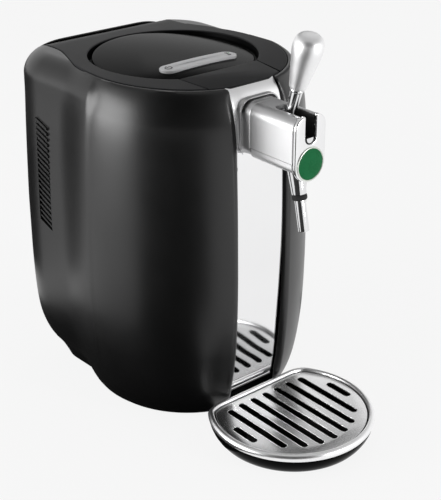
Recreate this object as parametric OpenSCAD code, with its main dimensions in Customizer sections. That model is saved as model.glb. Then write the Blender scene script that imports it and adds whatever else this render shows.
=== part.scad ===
// Counter-top cooler and dispenser for a 5 litre keg: a black barrel shaped
// housing with a polished front column, a pull tap, a hinged lid and a round
// drip tray. Millimetres, +Z up, front is -Y, origin under the middle of the
// bounding box, on the surface that it stands on.

/* [Housing] */
// Distance of the keg axis behind the origin
keg_y = 55; // [53:1:57]
// Wall thickness of the two half shells
shell_t = 3; // [2.5:0.5:3.5]
// Corner radius of the rear part of the housing
rear_r = 80; // [79:0.5:81]
// Width of the polished front column
column_w = 62.4; // [58:0.2:64]

/* [Keg well] */
// Inner radius of the bowl that the keg stands in
well_r = 87; // [86.5:0.5:88]
// Height of the well's floor
well_floor = 60; // [58:1:64]

/* [Lid] */
// Radius of the lid's round seam
lid_r = 111; // [109:1:111.5]
// Half width of the disc in the middle of the lid
disc_a = 85.8; // [82:0.2:88]

/* [Tap] */
// Half width of the tap casting
tap_w = 21; // [20:0.5:22]
// Lean of the lever at rest, in degrees
lever_lean = 17; // [12:0.5:20]
// Lean of the spout, in degrees
spout_lean = 12.5; // [10:0.5:14]

/* [Drip tray] */
// Radius of the drip tray's rim
tray_r = 90; // [86:1:90]
// Width of a slot in the grille
slot_w = 7; // [5:0.5:8]

/* [Hidden] */
$fn = 96;

// everything is drawn with the seam side of the barrel where it is handy, then moved
// by this so that the origin lies under the middle of the bounding box
frame_y = -14;
// top surface of the machine: a shallow crown
function zt(y) = 383.2 - 0.00042 * pow(y - 75, 2);
hinge = [196, 365];           // lid hinge axis, y and z
disc_y = 76;                   // middle of the lid's disc and its hole, y
hole_r = 91.5;                 // radius of that hole
strip_y = 33;                  // middle of the strip on the disc, y
pivot = [-103, 344];          // lever pivot, y and z
tip = [-131.5, 243];          // mouth of the spout, y and z
fan_z = 240;                  // fan, heatsink and cold block height
tray_y = -121;                // middle of the drip tray
plunger_y = -93.5;            // pinch plunger

// radius and height along the barrel's outside
barrel_prof = [[104, 3], [110, 8], [116, 18], [120.5, 30], [124.5, 46], [128, 68], [130.8, 95], [132.4, 130],
  [133, 170], [132.6, 200], [131.6, 240], [130.2, 290], [128.6, 322], [126, 343], [122.5, 356], [118.5, 367],
  [114, 377], [110, 384], [107, 389]];
// rear part: radius about the corner axes, and height
rear_prof = [[44, 3], [48.5, 13], [55, 25], [64, 38], [71, 54], [75, 70], [77.3, 92], [78.5, 119], [79, 150], [79, 200], [78, 250], [76.5, 298], [75, 338]];
rear_cx = 49;                 // corner axes of the rear part, x and y
rear_cy = 156;
// column front face: y and height
column_prof = [[-55, 32], [-57, 40], [-60, 60], [-62, 90], [-64, 120], [-66, 180], [-67, 220], [-66.3, 260],
  [-65, 300], [-63.4, 320], [-61, 344], [-58.5, 358], [-55.4, 368], [-52.4, 373.2], [-50.6, 375.4]];

module bx(x0, x1, y0, y1, z0, z1) translate([x0, y0, z0]) cube([x1 - x0, y1 - y0, z1 - z0]);
module ex(h) rotate([90, 0, 90]) linear_extrude(h, center = true) children();   // (y, z) drawn, swept along X
module ey(y0, y1) translate([0, y1, 0]) rotate([90, 0, 0]) linear_extrude(y1 - y0) children(); // (x, z) drawn
module rrect(x0, x1, y0, y1, r) { // rounded rectangle from true arcs
  translate([x0 + r, y0]) square([x1 - x0 - 2 * r, y1 - y0]);
  translate([x0, y0 + r]) square([x1 - x0, y1 - y0 - 2 * r]);
  for (x = [x0 + r, x1 - r], y = [y0 + r, y1 - r]) translate([x, y]) circle(r);
}
module at_keg(z = 0) translate([0, keg_y, z]) children();
module ring(r1, r2, z0, z1) at_keg(z0) difference() { cylinder(r = r2, h = z1 - z0); translate([0, 0, -1]) cylinder(r = r1, h = z1 - z0 + 2); }
function arc(cx, cy, r, a0, a1, n = 8) = [for (i = [0:n]) let(a = a0 + (a1 - a0) * i / n) [cx + r * cos(a), cy + r * sin(a)]];
function oval(a, b, yc, n = 72) = [for (i = [0:n - 1]) [a * cos(i * 360 / n), yc + b * sin(i * 360 / n)]];

// ---------------------------------------------------------------- housing
module barrel_solid(o, z0) at_keg() rotate_extrude($fn = 96)
  polygon(concat([[0, z0]], [for (p = barrel_prof) [p[0] - o, max(p[1], z0)]], [[0, 389]]));
function rear_side(o, z0) = concat([for (p = rear_prof) [p[0] - 80 + rear_r - o, max(p[1], z0)]], arc(rear_r - 33, 352, 28 - o, 0, 90));
function top_line(y0, y1, d, n = 16) = [for (i = [0:n]) let(y = y0 + (y1 - y0) * i / n) [y, zt(y) - d]];
module rear_solid(o, z0) intersection() {
  union() {
    for (s = [-1, 1]) translate([s * rear_cx, rear_cy, 0]) rotate_extrude() polygon(concat([[0, z0]], rear_side(o, z0), [[0, 380 - o]]));
    translate([0, rear_cy, 0]) ex(2 * rear_cx) polygon(concat([[-60, z0]], rear_side(o, z0), [[-60, 380 - o]]));
    for (s = [0, 1]) mirror([s, 0, 0]) ey(80, rear_cy) translate([rear_cx, 0]) polygon(concat([[-50, z0]], rear_side(o, z0), [[-50, 380 - o]]));
  }
  ex(300) polygon(concat([[60, z0 - 1], [260, z0 - 1]], top_line(260, 60, o)));
}
module vent_shape(g) // slanted band of the side vent, drawn as (y, z)
  polygon([[133 - g, 188 - g], [155 + g, 196 - g], [155 + g, 316 + g], [133 - g, 309 + g]]);
module shell_half(s) difference() {
  intersection() {
    difference() {
      union() { barrel_solid(0, 3); rear_solid(0, 3); }
      union() { barrel_solid(shell_t, 0); rear_solid(shell_t, 0); }
    }
    bx(s > 0 ? 0.15 : -140, s > 0 ? 140 : -0.15, -90, 260, 0, 400);
  }
  // front opening for the column, top opening for the lid and its tail
  bx(-column_w / 2 - 0.4, column_w / 2 + 0.4, -90, 20, -1, 400);
  translate([0, 59, 340]) cylinder(r = lid_r + 1.2, h = 80);
  bx(-87.2, 87.2, 100, 210.6, 346, 420);
  // back panel opening, side vent opening
  bx(-47.4, 47.4, 225, 250, 151.6, 344.4);
  translate([s * 128, 0, 0]) ex(20) vent_shape(0.4);
}
module left_shell() color([0.09, 0.09, 0.09]) shell_half(-1);
module right_shell() color([0.09, 0.09, 0.09]) shell_half(1);
module side_vents() color([0.04, 0.04, 0.04]) for (s = [-1, 1]) difference() {
  translate([s * (rear_cx + rear_r - 1.8), 0, 0]) ex(2.8) vent_shape(0);
  for (i = [0:12]) translate([s * 129, 0, 0]) ex(12)
    polygon([[136, 193.5 + 9 * i], [152, 199.3 + 9 * i], [152, 204.3 + 9 * i], [136, 198.5 + 9 * i]]);
}
feet = [[-60, -6], [60, -6], [-56, 164], [56, 164]];
module base_plate() color([0.07, 0.07, 0.07]) difference() {
  union() {
    at_keg(4) cylinder(r = 100.4, h = 4);
    translate([0, 0, 4]) linear_extrude(4) rrect(-83.4, 83.4, 60, 190.4, 34);
    for (p = feet) translate([p[0], p[1], 4]) cylinder(r = 8, h = 10);
    ring(60, 64, 7.9, 41.9);
  }
  for (p = feet) translate([p[0], p[1], -1]) cylinder(r = 2.2, h = 30);
  for (i = [-3:3]) bx(i * 12 - 3, i * 12 + 3, 140, 160, 0, 20);
}
module rubber_feet() color([0.05, 0.05, 0.05]) for (p = feet) translate([p[0], p[1], 0]) difference() {
  cylinder(r = 11, h = 4);
  translate([0, 0, -1]) cylinder(r = 4, h = 8);
}
module front_panel() color([0.82, 0.82, 0.83]) difference() {
  ex(column_w) polygon(concat(column_prof, [[-49.2, 376.3], [-49.2, 372.8]],
    [for (i = [len(column_prof) - 3:-1:0]) [column_prof[i][0] + 2.5, column_prof[i][1]]]));
  ey(-80, -40) rrect(-19, 19, 309, 358, 8);
}
module back_panel() color([0.07, 0.07, 0.07]) difference() {
  bx(-47, 47, 233, 236, 152, 344);
  translate([0, 230, fan_z]) rotate([-90, 0, 0]) cylinder(r = 37, h = 20);
  bx(-14.3, 14.3, 230, 240, 158.7, 177.3);
  for (i = [0:7]) bx(-30, 30, 230, 240, 292 + 6 * i, 295 + 6 * i);
  for (x = [-41, 41], z = [158, 338]) translate([x, 230, z]) rotate([-90, 0, 0]) cylinder(r = 1.8, h = 20);
}
module fan_guard() color([0.1, 0.1, 0.1]) translate([0, 239, fan_z]) rotate([90, 0, 0]) union() {
  cylinder(r = 9, h = 2.9);
  for (r = [18.5, 28]) difference() { cylinder(r = r + 1.6, h = 2.9); translate([0, 0, -1]) cylinder(r = r - 1.6, h = 5); }
  difference() { cylinder(r = 44, h = 2.9); translate([0, 0, -1]) cylinder(r = 36.5, h = 5); }
  for (a = [0, 90, 180, 270]) rotate(a) translate([6, -1.8, 0.2]) cube([33, 3.6, 2.5]);
}

// ---------------------------------------------------------------- keg well and cooling
module well_deck() color([0.12, 0.12, 0.12]) difference() {
  union() {
    ring(93.6, 117.5, 349, 352);
    ring(93.6, 97, 340, 349.01);
  }
  bx(-column_w / 2 - 2, column_w / 2 + 2, -90, -50.5, 300, 400);
  translate([0, -43, 340]) cylinder(r = 4.6, h = 20);
  bx(-90, 90, 148, 190, 330, 360);
}
module keg_well() color([0.72, 0.73, 0.74]) at_keg() difference() {
  union() {
    translate([0, 0, well_floor - 2]) cylinder(r = well_r + 1.5, h = 350 - well_floor);
    translate([0, 0, 348]) cylinder(r = 93.3, h = 2);
  }
  translate([0, 0, well_floor]) cylinder(r = well_r, h = 400);
}
module well_insulation() color([0.86, 0.86, 0.84]) difference() {
  at_keg(44) cylinder(r = 109, h = 270);
  at_keg(well_floor - 2.2) cylinder(r = well_r + 1.7, h = 400);
  at_keg(40) cylinder(r = 15, h = 40);
  bx(-52, 52, 135, 180, fan_z - 65, fan_z + 65);
  bx(-60, 60, 152, 180, 30, 400);
  bx(85.5, 140, 40, 70, 205, 225);
}
module thermistor() color([0.15, 0.15, 0.17]) translate([well_r + 1.7, keg_y, 215]) rotate([0, 90, 0]) union() {
  cylinder(r = 3.5, h = 6);
  translate([0, 0, 6]) cylinder(r = 1.5, h = 12);
}
module cold_block() color([0.7, 0.7, 0.72]) difference() {
  bx(-30, 30, 120, 157, fan_z - 30, fan_z + 30);
  at_keg(100) cylinder(r = well_r + 1.6, h = 250);
}
module peltier_module() color([0.93, 0.93, 0.9]) bx(-20, 20, 157.1, 160.9, fan_z - 20, fan_z + 20);
module heatsink() color([0.62, 0.63, 0.65]) {
  difference() {
    bx(-45, 45, 161, 200, fan_z - 55, fan_z + 55);
    for (i = [-8:8]) bx(i * 5.2 - 1.7, i * 5.2 + 1.7, 166, 210, fan_z - 60, fan_z + 60);
  }
}
module fan_frame() color([0.05, 0.05, 0.05]) difference() {
  union() {
    difference() {
      bx(-40, 40, 206, 231, fan_z - 40, fan_z + 40);
      translate([0, 200, fan_z]) rotate([-90, 0, 0]) cylinder(r = 37.5, h = 50);
    }
    translate([0, 206, fan_z]) rotate([-90, 0, 0]) cylinder(r = 14, h = 3);
    for (a = [45:90:315]) translate([0, 206, fan_z]) rotate([-90, 0, 0]) rotate(a) translate([12, -2, 0]) cube([27, 4, 3]);
    translate([0, 206, fan_z]) rotate([-90, 0, 0]) cylinder(r = 2, h = 16);
  }
  for (x = [-35.75, 35.75], z = [-35.75, 35.75]) translate([x, 200, fan_z + z]) rotate([-90, 0, 0]) cylinder(r = 2.1, h = 50);
}
module fan_rotor() color([0.13, 0.13, 0.13]) translate([0, 209.7, fan_z]) rotate([-90, 0, 0]) {
  difference() {
    cylinder(r = 15, h = 20);
    translate([0, 0, -1]) cylinder(r = 2.06, h = 18);
    translate([0, 0, -1]) difference() { cylinder(r = 13, h = 4); cylinder(r = 4, h = 10); }
  }
  for (a = [0:360 / 7:350]) rotate(a) intersection() {
    translate([0, 0, 10]) rotate([32, 0, 0]) translate([14.2, -11, -0.9]) cube([22, 22, 1.8]);
    difference() { cylinder(r = 36, h = 20); translate([0, 0, -1]) cylinder(r = 14.2, h = 30); }
  }
}
module power_board() color([0.1, 0.35, 0.2]) {
  at_keg() bx(-42, 42, -38, 38, 14, 15.6);
  at_keg() { bx(-38, -12, -30, -4, 15.6, 35); bx(0, 14, -30, -10, 15.6, 32); bx(0, 30, 5, 15, 15.6, 30);
    for (x = [-30, -16]) translate([x, 18, 15.6]) cylinder(r = 6, h = 20);
    for (x = [-36, 36], y = [-32, 32]) translate([x, y, 8]) cylinder(r = 3, h = 6); }
}
module mains_inlet() color([0.06, 0.06, 0.06]) difference() {
  union() {
    bx(-17, 17, 236, 238, 156, 180);
    bx(-14, 14, 216, 236, 159, 177);
  }
  difference() {
    ey(222, 243) rrect(-10.5, 10.5, 162.5, 173.5, 5);
    for (x = [-4.3, 4.3]) translate([x, 218, 168]) rotate([-90, 0, 0]) cylinder(r = 1.2, h = 10);
  }
}
module hinge_brackets() color([0.6, 0.6, 0.62]) for (x = [-63, 63]) difference() {
  union() {
    translate([x, 0, 0]) ex(6) polygon([[172, 334], [214, 334], [214, 341], [202, 348], [202, 366], [190, 366], [186, 348], [172, 341]]);
    translate([x, hinge[0], hinge[1]]) rotate([0, 90, 0]) cylinder(r = 7, h = 6, center = true);
    bx(x - 12, x + 12, 172, 214, 330, 334);
  }
  translate([x, hinge[0], hinge[1]]) rotate([0, 90, 0]) cylinder(r = 3.05, h = 20, center = true);
}
module lid_hinge_pin() color([0.75, 0.75, 0.76]) translate([0, hinge[0], hinge[1]]) rotate([0, 90, 0]) cylinder(r = 3, h = 150, center = true);
module latch_keeper() color([0.7, 0.7, 0.72]) difference() {
  union() { bx(20, 40, -42, -34, 352, 354); bx(20, 40, -36, -34, 352, 362); bx(20, 40, -37.2, -34, 360.5, 362); }
  bx(28.5, 31.5, -40.5, -37.5, 350, 356);
}
module hose_barb() color([0.85, 0.85, 0.82]) translate([0, -43, 0]) difference() {
  union() {
    translate([0, 0, 324]) cylinder(r = 4.4, h = 31);
    translate([0, 0, 352]) cylinder(r = 6.4, h = 3);
    translate([0, 0, 355]) cylinder(r = 4, h = 7);
    translate([0, 0, 362]) cylinder(r1 = 4, r2 = 3.2, h = 1.5);
    sphere_elbow();
  }
  translate([0, 0, 330]) cylinder(r = 2.5, h = 50);
  translate([0, 0, 330]) rotate([90, 0, 0]) cylinder(r = 2.5, h = 30);
  translate([0, 0, 330]) sphere(r = 2.5);
}
module sphere_elbow() {
  translate([0, 0, 324]) cylinder(r = 6.5, h = 12);
  translate([0, 0, 330]) rotate([90, 0, 0]) cylinder(r = 3.2, h = 14);
}

// ---------------------------------------------------------------- lid
module lid_plan(g) {
  intersection() { translate([0, 59]) circle(lid_r - g); translate([-150, -48.7]) square([300, 220]); }
  translate([-86 + g, 100]) square([172 - 2 * g, 50]);
}
module wedge_plan(g) intersection() {
  polygon([[-52 - g, 0.4 + g], [52 + g, 0.4 + g], [46 + g, -70], [-46 - g, -70]]);
  translate([0, 59]) circle(lid_r - 1.7 + g);
  translate([-150, -48.7 - g]) square([300, 220]);
}
module top_slab(y0, y1, d0, d1) ex(260) polygon(concat(top_line(y0, y1, d1), top_line(y1, y0, d0)));
module lid_frame() color([0.2, 0.2, 0.2]) difference() {
  union() {
    intersection() { translate([0, 0, 340]) linear_extrude(60) lid_plan(0); top_slab(-60, 150, 0, 8); }
    ex(172) polygon(concat([[149.9, zt(150) - 8]], top_line(149.9, 190, 0, 6), arc(hinge[0], hinge[1], 12, 80, -150, 16), [[181, 369]]));
    intersection() { translate([0, 59, 340]) cylinder(r = 104, h = 60); top_slab(-60, 149, 7, 12); }
  }
  // round hole with finger room at both ends, wedge pocket with its sill below
  intersection() { translate([0, disc_y, 340]) cylinder(r = hole_r, h = 60); bx(-120, 120, 0, 180, 340, 400); }
  translate([0, 0, 345]) intersection() { linear_extrude(60) wedge_plan(0.4); translate([0, 0, -345]) top_slab(-80, 0, -1, 9.2); }
  // knuckle gaps, hinge bore, hollow behind
  for (x = [-63, 63]) bx(x - 3.4, x + 3.4, 172, 212, 340, 374);
  translate([0, hinge[0], hinge[1]]) rotate([0, 90, 0]) cylinder(r = 3.05, h = 300, center = true);
  bx(20, 40, -47, -30, 340, 380);
}
module lid_disc() color([0.03, 0.03, 0.03]) difference() {
  intersection() {
    translate([0, 0, 340]) linear_extrude(60) intersection() { polygon(oval(disc_a, 88.6, disc_y)); translate([-120, 0.8]) square([240, 200]); }
    union() { top_slab(-20, 148, 0, 12); top_slab(147.9, 170, 0, 7.4); }
    ey(-20, 170) translate([0, 383.1 - 470]) circle(470, $fn = 400);
  }
  ey(5, 140) intersection() { translate([0, 380.1 - 470]) circle(470, $fn = 400); translate([-66, 300]) square([132, 79]); }
  translate([0, strip_y, 376]) linear_extrude(60) rrect(-49.2, 49.2, -10.4, 10.4, 10.39);
}
module lid_liner() color([0.16, 0.16, 0.16]) difference() {
  union() {
    at_keg(355.3) cylinder(r = 84, h = 4);
    intersection() { ring(92.5, 97, 356.5, 376); top_slab(-60, 149, 12.05, 40); }
    ring(80, 97, 356.5, 359);
  }
  ring(84, 91, 350, 358.5);
  bx(-12, 12, -60, -34, 340, 380);
  bx(18, 42, -60, -29, 340, 380);
  bx(-50, 50, 148, 200, 364, 380);
}
module lid_gasket() color([0.1, 0.1, 0.1]) ring(84.2, 90.8, 352.3, 356.4);
module control_strip() color([0.75, 0.76, 0.77]) difference() {
  translate([0, strip_y, zt(strip_y) - 3.2]) linear_extrude(3.2) rrect(-49, 49, -10.2, 10.2, 10.19);
  translate([-39.5, strip_y, 340]) cylinder(r = 6.4, h = 60);
  translate([39.5, strip_y, 340]) cylinder(r = 5, h = 60);
}
module temp_lens() color([0.3, 0.75, 0.35]) translate([39.5, strip_y, zt(strip_y) - 3.2]) cylinder(r = 4.9, h = 3.3);
module control_board() color([0.1, 0.35, 0.2]) difference() {
  union() { bx(-48, 48, strip_y - 13, strip_y + 13, 370.4, 372); bx(10, 26, strip_y - 6, strip_y + 6, 372, 373.6); translate([-39.5, strip_y, 372]) cylinder(r = 2, h = 2.6); translate([39.5, strip_y, 372]) cylinder(r = 2.4, h = 4); }
  for (x = [-20, 20], y = [strip_y - 10, strip_y + 10]) translate([x, y, 360]) cylinder(r = 1.2, h = 20);
}
module power_button() color([0.75, 0.76, 0.77]) translate([-39.5, strip_y, 0]) union() {
  translate([0, 0, zt(strip_y) - 3.4]) cylinder(r = 6, h = 3.5);
  translate([0, 0, zt(strip_y) - 4.6]) cylinder(r = 3.4, h = 1.4);
}
module coil(x, y, z0, z1, r, w, n) translate([x, y, z0]) union() { // coil spring drawn as spaced rings and two struts
  for (i = [0:n - 1]) translate([0, 0, w + i * (z1 - z0 - 2 * w) / (n - 1)]) rotate_extrude($fn = 24) translate([r, 0]) circle(w, $fn = 16);
  for (a = [0, 180]) rotate(a) translate([r, 0, w]) cylinder(r = w * 0.8, h = z1 - z0 - 2 * w, $fn = 16);
}
module button_spring() color([0.7, 0.7, 0.7]) coil(-39.5, strip_y, 372.05, zt(strip_y) - 4.7, 2.7, 0.3, 4);
module lid_release() color([0.2, 0.2, 0.2]) {
  difference() {
    intersection() { translate([0, 0, 345]) linear_extrude(60) wedge_plan(0); top_slab(-70, 0, 0, 6); }
    translate([0, 0, -1.2]) intersection() { translate([0, 0, 340]) linear_extrude(39) polygon([[-48, -12], [48, -12], [44, -42], [-44, -42]]); top_slab(-70, 0, 1.2, 6); }
  }
  bx(22, 38, -44, -42, 357.2, 377.5);
  bx(22, 38, -42.1, -37.6, 357.2, 359.4);
}
module release_spring() color([0.7, 0.7, 0.7]) for (x = [-38, 12]) coil(x, -24, zt(-24) - 8.7, zt(-24) - 2.9, 3.4, 0.4, 5);

// ---------------------------------------------------------------- tap
module tap_outline(g, zb, zc) rrect(-tap_w + g, tap_w - g, zb, zc, 12);
module tap_collar() color([0.8, 0.8, 0.81]) difference() {
  intersection() { ey(-76, -63.2) rrect(-27, 27, 303, 368, 14); bx(-40, 40, -76, -60, 290, 400); }
  ey(-80, -50) rrect(-tap_w - 0.05, tap_w + 0.05, 308, 364.05, 8);
  ex(80) polygon(concat([for (p = column_prof) [p[0] - 0.1, p[1]]], [[-40, 376], [-40, 32]]));
}
module tap_body() color([0.83, 0.83, 0.84]) difference() {
  union() {
    intersection() { ey(-133.6, -63.5) rrect(-tap_w, tap_w, 296, 364, 12); bx(-40, 40, -140, -40, 319.2, 370); }
  }
  ex(80) polygon(concat([for (p = column_prof) [p[0] - 0.1, p[1]]], [[-40, 376], [-40, 32]]));
  bx(-tap_w + 3, tap_w - 3, -130.6, -50, 300, 361);
  bx(-8.6, 8.6, -140, -98, 334, 380);
  translate([0, -98, 340]) cylinder(r = 8.6, h = 40);
}
module tap_bottom_cover() color([0.83, 0.83, 0.84]) difference() {
  union() {
    intersection() {
      ey(-133.6, -76.2) rrect(-tap_w, tap_w, 308, 364, 6);
      bx(-40, 40, -140, -40, 300, 319);
    }
    bx(-tap_w + 3.2, tap_w - 3.2, -130, -78.4, 316, 321.5);
  }
  bx(-tap_w + 5.2, tap_w - 5.2, -128, -80.4, 311, 330);
  for (x = [-12, 12], y = [-84, -106]) translate([x, y, 300]) cylinder(r = 1.45, h = 20);
  translate([0, tip[0], tip[1]]) rotate([-spout_lean, 0, 0]) cylinder(r = 9.1, h = 90);
}
module tap_face() color([0.92, 0.92, 0.92]) difference() {
  intersection() {
    ey(-137, -133.7) union() { translate([0, 317]) circle(20); rrect(-20, 20, 317, 366, 13); translate([-20, 317]) square([40, 20]); }
    bx(-30, 30, -140, -130, 290, 370);
  }
  ey(-140, -130) union() { translate([0, 343]) circle(7); translate([-7, 343]) square([14, 40]); }
}
module badge() color([0.08, 0.45, 0.28]) translate([0, -137.05, 316]) rotate([90, 0, 0]) cylinder(r = 17.6, h = 1.5);
module tap_channel() color([0.03, 0.03, 0.03]) difference() {
  bx(-8.4, 8.4, -133.4, -99, 335.2, 363.4);
  bx(-6.9, 6.9, -140, -90, 337.2, 380);
  translate([0, pivot[0], pivot[1]]) rotate([0, 90, 0]) cylinder(r = 2.02, h = 40, center = true);
}
module lever_stop() color([0.85, 0.85, 0.86]) difference() {
  translate([0, -124, 341.6]) rotate([90, 0, 0]) cylinder(r = 4.3, h = 12);
  bx(-10, 10, -137, -120, 342.5, 350);
}
module lever_pin() color([0.75, 0.75, 0.76]) translate([0, pivot[0], pivot[1]]) rotate([0, 90, 0]) cylinder(r = 2, h = 33, center = true);
module in_lever() translate([0, pivot[0], pivot[1]]) rotate([lever_lean, 0, 0]) children();
module lever_stem() color([0.85, 0.85, 0.86]) difference() {
  union() {
    in_lever() translate([0, 0, 4]) cylinder(r1 = 4.6, r2 = 6.2, h = 42);
    in_lever() translate([0, 0, 46]) cylinder(r = 3.5, h = 22);
    translate([0, pivot[0], pivot[1]]) rotate([0, 90, 0]) cylinder(r = 5, h = 10, center = true);
    for (x = [-4.9, 2.9]) bx(x, x + 2, pivot[0], pivot[0] + 9.5, pivot[1] - 1.5, pivot[1] + 1.5);
  }
  translate([0, pivot[0], pivot[1]]) rotate([0, 90, 0]) cylinder(r = 2.06, h = 20, center = true);
}
knob_prof = [[8.4, 46.2], [9.2, 50], [10.4, 56], [11.9, 64], [13.3, 72], [14.6, 80], [15.3, 86], [15.3, 90], [14.6, 94.5], [13, 98.5],
  [10.6, 101.4], [7.4, 103.2], [3.6, 104]];
module lever_knob() color([0.7, 0.7, 0.7]) in_lever() difference() {
  rotate_extrude($fn = 64) polygon(concat([[0, 46.2]], knob_prof, [[0, 104.1]]));
  translate([0, 0, 40]) cylinder(r = 3.52, h = 28.2);
}
module pinch_plunger() color([0.9, 0.9, 0.88]) translate([0, plunger_y, 0]) {
  translate([0, 0, 330.6]) cylinder(r = 2.6, h = 17.4);
  translate([0, 0, 348]) cylinder(r = 6, h = 3);
  translate([0, 0, 330.6]) intersection() { cylinder(r = 4.4, h = 2); translate([-5, -3, 0]) cube([10, 6, 3]); }
}
module plunger_spring() color([0.7, 0.7, 0.7]) coil(0, plunger_y, 351.05, 360.9, 3.9, 0.5, 5);
module in_spout() translate([0, tip[0], tip[1]]) rotate([-spout_lean, 0, 0]) children();
elbow = [tip[0] + (326 - tip[1]) * tan(spout_lean), 326]; // where the hose turns down, y and z
module tap_hose() color([0.88, 0.88, 0.85]) difference() {
  union() {
    translate([0, -57.2, elbow[1]]) rotate([90, 0, 0]) cylinder(r = 4, h = -57.2 - elbow[0]);
    in_spout() translate([0, 0, 66.1]) cylinder(r = 4.2, h = (elbow[1] - tip[1]) / cos(spout_lean) - 61.6);
  }
  translate([0, -50, elbow[1]]) rotate([90, 0, 0]) cylinder(r = 2.6, h = 44);
  in_spout() translate([0, 0, 60]) cylinder(r = 2.6, h = 14);
}
module spout_collar() color([0.85, 0.85, 0.86]) in_spout() difference() {
  translate([0, 0, 38]) cylinder(r1 = 7.4, r2 = 9, h = 28);
  translate([0, 0, 30]) cylinder(r = 4.2, h = 50);
}
module spout_seal() color([0.04, 0.04, 0.04]) in_spout() difference() {
  translate([0, 0, 32.5]) cylinder(r1 = 6.6, r2 = 7.7, h = 5.4);
  translate([0, 0, 30]) cylinder(r = 5.13, h = 10);
}
module spout_tube() color([0.85, 0.85, 0.86]) in_spout() difference() {
  union() {
    cylinder(r = 5.65, h = 32.5);
    translate([0, 0, 32]) cylinder(r = 5.1, h = 5.9);
  }
  translate([0, 0, -1]) cylinder(r = 4, h = 50);
}

// ---------------------------------------------------------------- drip tray
module tray_plan(o) difference() {
  intersection() {
    translate([0, tray_y]) circle(tray_r - o);
    union() {
      translate([-60 + o, -300]) square([120 - 2 * o, 241.2 - o]);
      translate([-100, -300]) square([200, 220]);
      for (s = [-1, 1]) translate([s * 52, -80.8]) circle(22 - o);
    }
  }
  difference() { translate([0, keg_y]) circle(121.2 + o); translate([-30.9 + o, -200]) square([61.8 - 2 * o, 300]); }
}
module tray_cone(o, z0) translate([0, tray_y, 0]) rotate_extrude() polygon([[0, z0], [73 - o, z0], [81 - o, max(z0, 4)], [86.5 - o, 12], [89 - o, 20], [89.8 - o, 40], [0, 40]]);
module tray_base() color([0.05, 0.05, 0.05]) difference() {
  intersection() { linear_extrude(25) tray_plan(0.2); tray_cone(0, 0); }
  intersection() { translate([0, 0, 3]) linear_extrude(40) tray_plan(3.4); tray_cone(3.2, 3); }
}
module tray_rim() color([0.86, 0.86, 0.87]) difference() {
  union() {
    translate([0, 0, 25.1]) linear_extrude(4.4) tray_plan(0);
    translate([0, 0, 22.6]) linear_extrude(3) tray_plan(4.4);
  }
  translate([0, 0, 20]) linear_extrude(20) tray_plan(7.5);
  translate([0, 0, 26.8]) linear_extrude(20) tray_plan(6.2);
}
function slot_half(x) = sqrt(pow(72, 2) - x * x);
module grille_slots(w) for (i = [-4:4]) let(x = i * 17.2, f = -slot_half(x) + (abs(i) == 4 ? 1 : 3), b = abs(i) == 4 ? 14 : (abs(i) == 3 ? 43 : 45))
  translate([x, tray_y]) {
    translate([-w / 2, f + w / 2]) square([w, b - f - w]);
    translate([0, f + w / 2]) circle(w / 2);
    translate([0, b - w / 2]) circle(w / 2);
  }
module drip_grille() color([0.84, 0.84, 0.85]) translate([0, 0, 25.2]) linear_extrude(1.5) difference() {
  union() { tray_plan(7.9); }
  grille_slots(slot_w);
}

// ---------------------------------------------------------------- screws, grouped where they are alike
module screw(r, l, hr, hh) { cylinder(r = r, h = l); translate([0, 0, l]) difference() { cylinder(r = hr, h = hh); translate([-hr, -0.4, hh - 0.8]) cube([2 * hr, 0.8, 2]); } }
module shell_screws() color([0.6, 0.6, 0.62]) for (p = feet) translate([p[0], p[1], 13]) rotate([180, 0, 0]) screw(2.15, 9, 3.8, 2.2);
module panel_screws() color([0.3, 0.3, 0.3]) for (x = [-41, 41], z = [158, 338]) translate([x, 226, z]) rotate([-90, 0, 0]) screw(1.75, 10, 3.4, 1.6);
module tap_screws() color([0.6, 0.6, 0.62]) for (x = [-12, 12], y = [-84, -106]) translate([x, y, 311]) rotate([180, 0, 0]) screw(1.4, 3, 2.5, 1.2);

translate([0, frame_y, 0]) base_plate();
translate([0, frame_y, 0]) rubber_feet();
translate([0, frame_y, 0]) left_shell();
translate([0, frame_y, 0]) right_shell();
translate([0, frame_y, 0]) side_vents();
translate([0, frame_y, 0]) back_panel();
translate([0, frame_y, 0]) fan_guard();
translate([0, frame_y, 0]) front_panel();
translate([0, frame_y, 0]) well_deck();
translate([0, frame_y, 0]) keg_well();
translate([0, frame_y, 0]) well_insulation();
translate([0, frame_y, 0]) thermistor();
translate([0, frame_y, 0]) cold_block();
translate([0, frame_y, 0]) peltier_module();
translate([0, frame_y, 0]) heatsink();
translate([0, frame_y, 0]) fan_frame();
translate([0, frame_y, 0]) fan_rotor();
translate([0, frame_y, 0]) power_board();
translate([0, frame_y, 0]) mains_inlet();
translate([0, frame_y, 0]) hinge_brackets();
translate([0, frame_y, 0]) lid_hinge_pin();
translate([0, frame_y, 0]) latch_keeper();
translate([0, frame_y, 0]) hose_barb();
translate([0, frame_y, 0]) lid_frame();
translate([0, frame_y, 0]) lid_disc();
translate([0, frame_y, 0]) lid_liner();
translate([0, frame_y, 0]) lid_gasket();
translate([0, frame_y, 0]) control_strip();
translate([0, frame_y, 0]) temp_lens();
translate([0, frame_y, 0]) control_board();
translate([0, frame_y, 0]) power_button();
translate([0, frame_y, 0]) button_spring();
translate([0, frame_y, 0]) lid_release();
translate([0, frame_y, 0]) release_spring();
translate([0, frame_y, 0]) tap_collar();
translate([0, frame_y, 0]) tap_body();
translate([0, frame_y, 0]) tap_bottom_cover();
translate([0, frame_y, 0]) tap_face();
translate([0, frame_y, 0]) badge();
translate([0, frame_y, 0]) tap_channel();
translate([0, frame_y, 0]) lever_stop();
translate([0, frame_y, 0]) lever_pin();
translate([0, frame_y, 0]) lever_stem();
translate([0, frame_y, 0]) lever_knob();
translate([0, frame_y, 0]) pinch_plunger();
translate([0, frame_y, 0]) plunger_spring();
translate([0, frame_y, 0]) tap_hose();
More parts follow.
